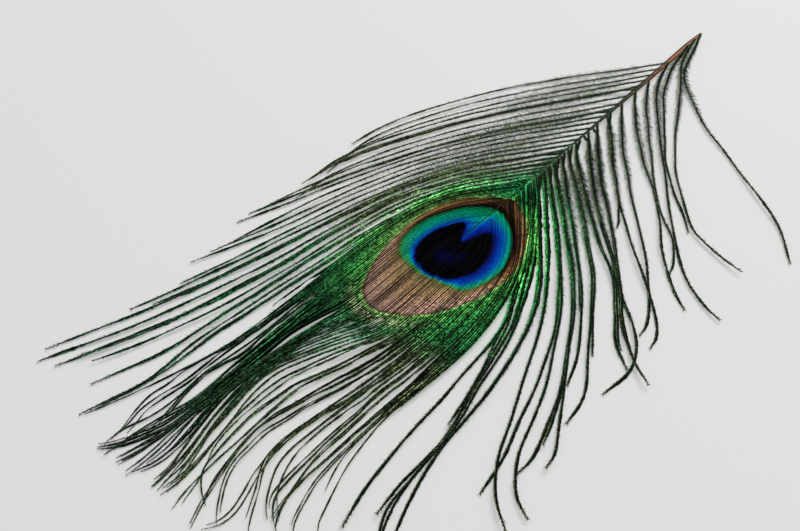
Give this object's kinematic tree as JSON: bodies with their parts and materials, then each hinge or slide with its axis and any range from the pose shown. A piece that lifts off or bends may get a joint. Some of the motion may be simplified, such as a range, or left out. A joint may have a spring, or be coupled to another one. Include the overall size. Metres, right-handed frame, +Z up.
{
  "type": "peacock feather",
  "caption": "Short-cut peacock eye feather with a bare tapered shaft end, a closed vane round the eye and loose curving barbs, lying flat on a surface.",
  "frame": {"origin": "on the surface under the middle of the eye, 145 mm from the cut end of the shaft", "axes": "+X along the shaft from the cut end towards the tip, +Y across it to the side of the longest loose barb, +Z up from the surface, the feather lying with its bright face up"},
  "size_m": [0.242, 0.1236, 0.0041],
  "materials": {
    "barbs": "satin",
    "eye": "satin",
    "shaft": "satin"
  },
  "bodies": {
    "root": {"feather": "barbs"}
  },
  "joints": []
}
